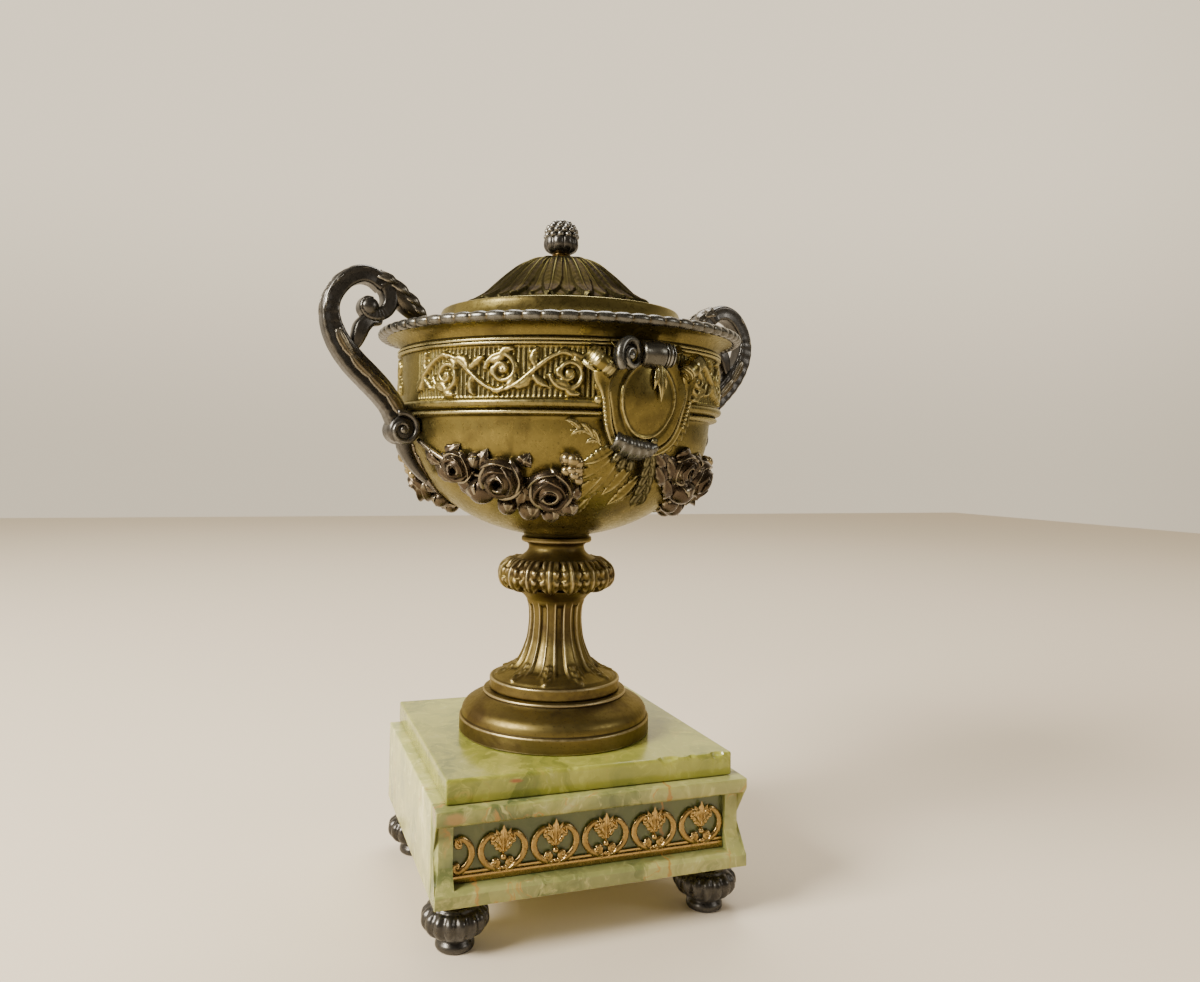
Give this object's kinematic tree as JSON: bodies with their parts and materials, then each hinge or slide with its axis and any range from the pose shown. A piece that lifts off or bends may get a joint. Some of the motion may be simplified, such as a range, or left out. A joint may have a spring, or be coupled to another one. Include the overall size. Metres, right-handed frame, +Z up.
{
  "type": "mantel urn",
  "caption": "Lidded urn with scrolled handles and rose garlands on a fluted stem, built on a footed onyx plinth with a gilt openwork frieze.",
  "frame": {"origin": "on the ground under the urn's axis, at the centre of the plinth", "axes": "+Z up along the urn's axis, -Y towards the plinth's gilt front, +X to the right seen from the front"},
  "size_m": [0.269, 0.203, 0.3675],
  "materials": {
    "onyx": "polished veined green stone",
    "urn_bronze": "gilt-brown patinated cast metal",
    "dark_bronze": "dark patinated cast metal",
    "gilt_brass": "worn gilding"
  },
  "bodies": {
    "root": {"foot_front_left": "dark_bronze", "foot_front_right": "dark_bronze", "foot_back_left": "dark_bronze", "foot_back_right": "dark_bronze", "foot_stub_front_left": "gilt_brass", "foot_stub_front_right": "gilt_brass", "foot_stub_back_left": "gilt_brass", "foot_stub_back_right": "gilt_brass", "plinth_block": "onyx", "plinth_front": "onyx", "plinth_top_slab": "onyx", "gilt_frieze": "gilt_brass", "foot_disc": "urn_bronze", "fluted_stem": "urn_bronze", "leaf_collar": "urn_bronze", "bowl": "urn_bronze", "lid": "urn_bronze", "finial_neck": "gilt_brass", "finial": "dark_bronze", "handle_left": "dark_bronze", "handle_right": "dark_bronze", "cartouche_front": "urn_bronze", "cartouche_back": "urn_bronze", "garland_front_left": "dark_bronze", "garland_front_right": "dark_bronze", "garland_back_right": "dark_bronze", "garland_back_left": "dark_bronze"}
  },
  "joints": []
}
